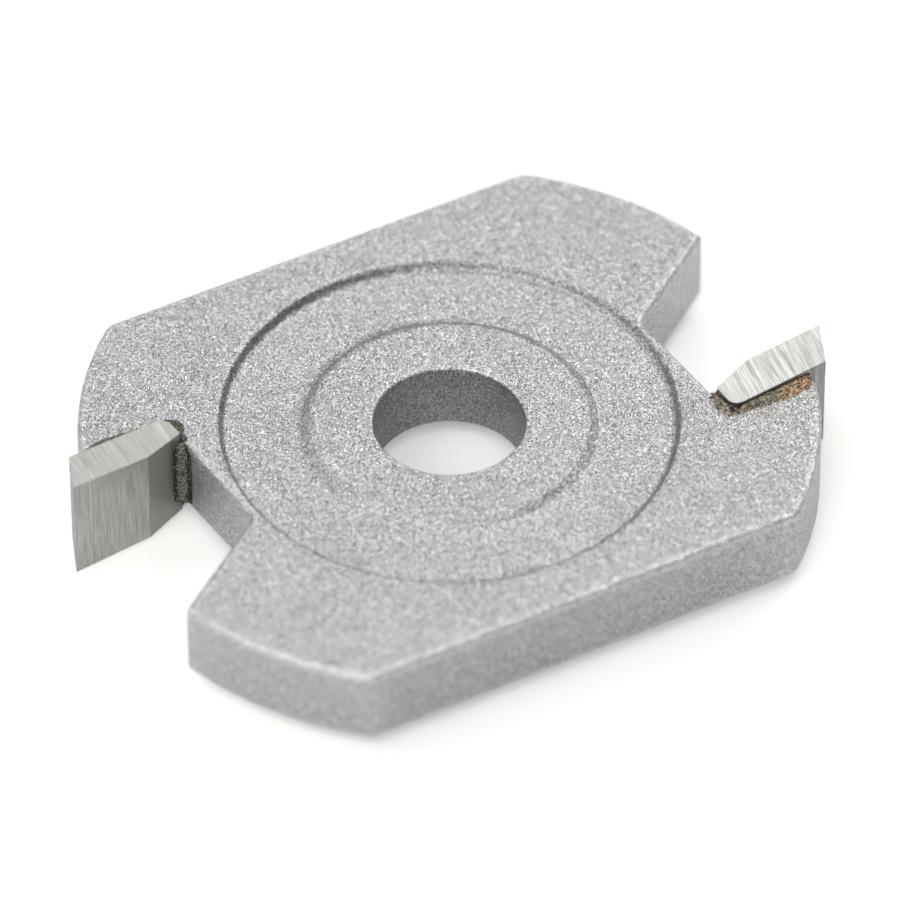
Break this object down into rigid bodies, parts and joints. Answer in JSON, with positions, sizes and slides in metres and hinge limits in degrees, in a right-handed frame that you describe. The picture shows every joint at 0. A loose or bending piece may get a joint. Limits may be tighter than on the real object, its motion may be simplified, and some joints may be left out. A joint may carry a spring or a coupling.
{
  "type": "carbide-tipped carving cutter",
  "caption": "Flat steel carving cutter with a central bore, recessed clamping hub, gullets and brazed carbide tips, for roughing wood on a small angle grinder.",
  "frame": {"origin": "centre of the bore, half way through the thickness", "axes": "+Z along the spindle axis, X along the two flat sides, the left tip at -X and the right tip at +X"},
  "size_m": [0.0504, 0.0376, 0.0078],
  "materials": {
    "blasted_steel": "fine bead-blasted, matte with small sparkles",
    "carbide": "ground, with fine scratches across the faces",
    "braze": "dull, oxidised brown with copper spots"
  },
  "bodies": {
    "root": {"cutter_body": "blasted_steel", "left_tip": "carbide", "right_tip": "carbide", "left_braze": "braze", "right_braze": "braze"}
  },
  "joints": []
}
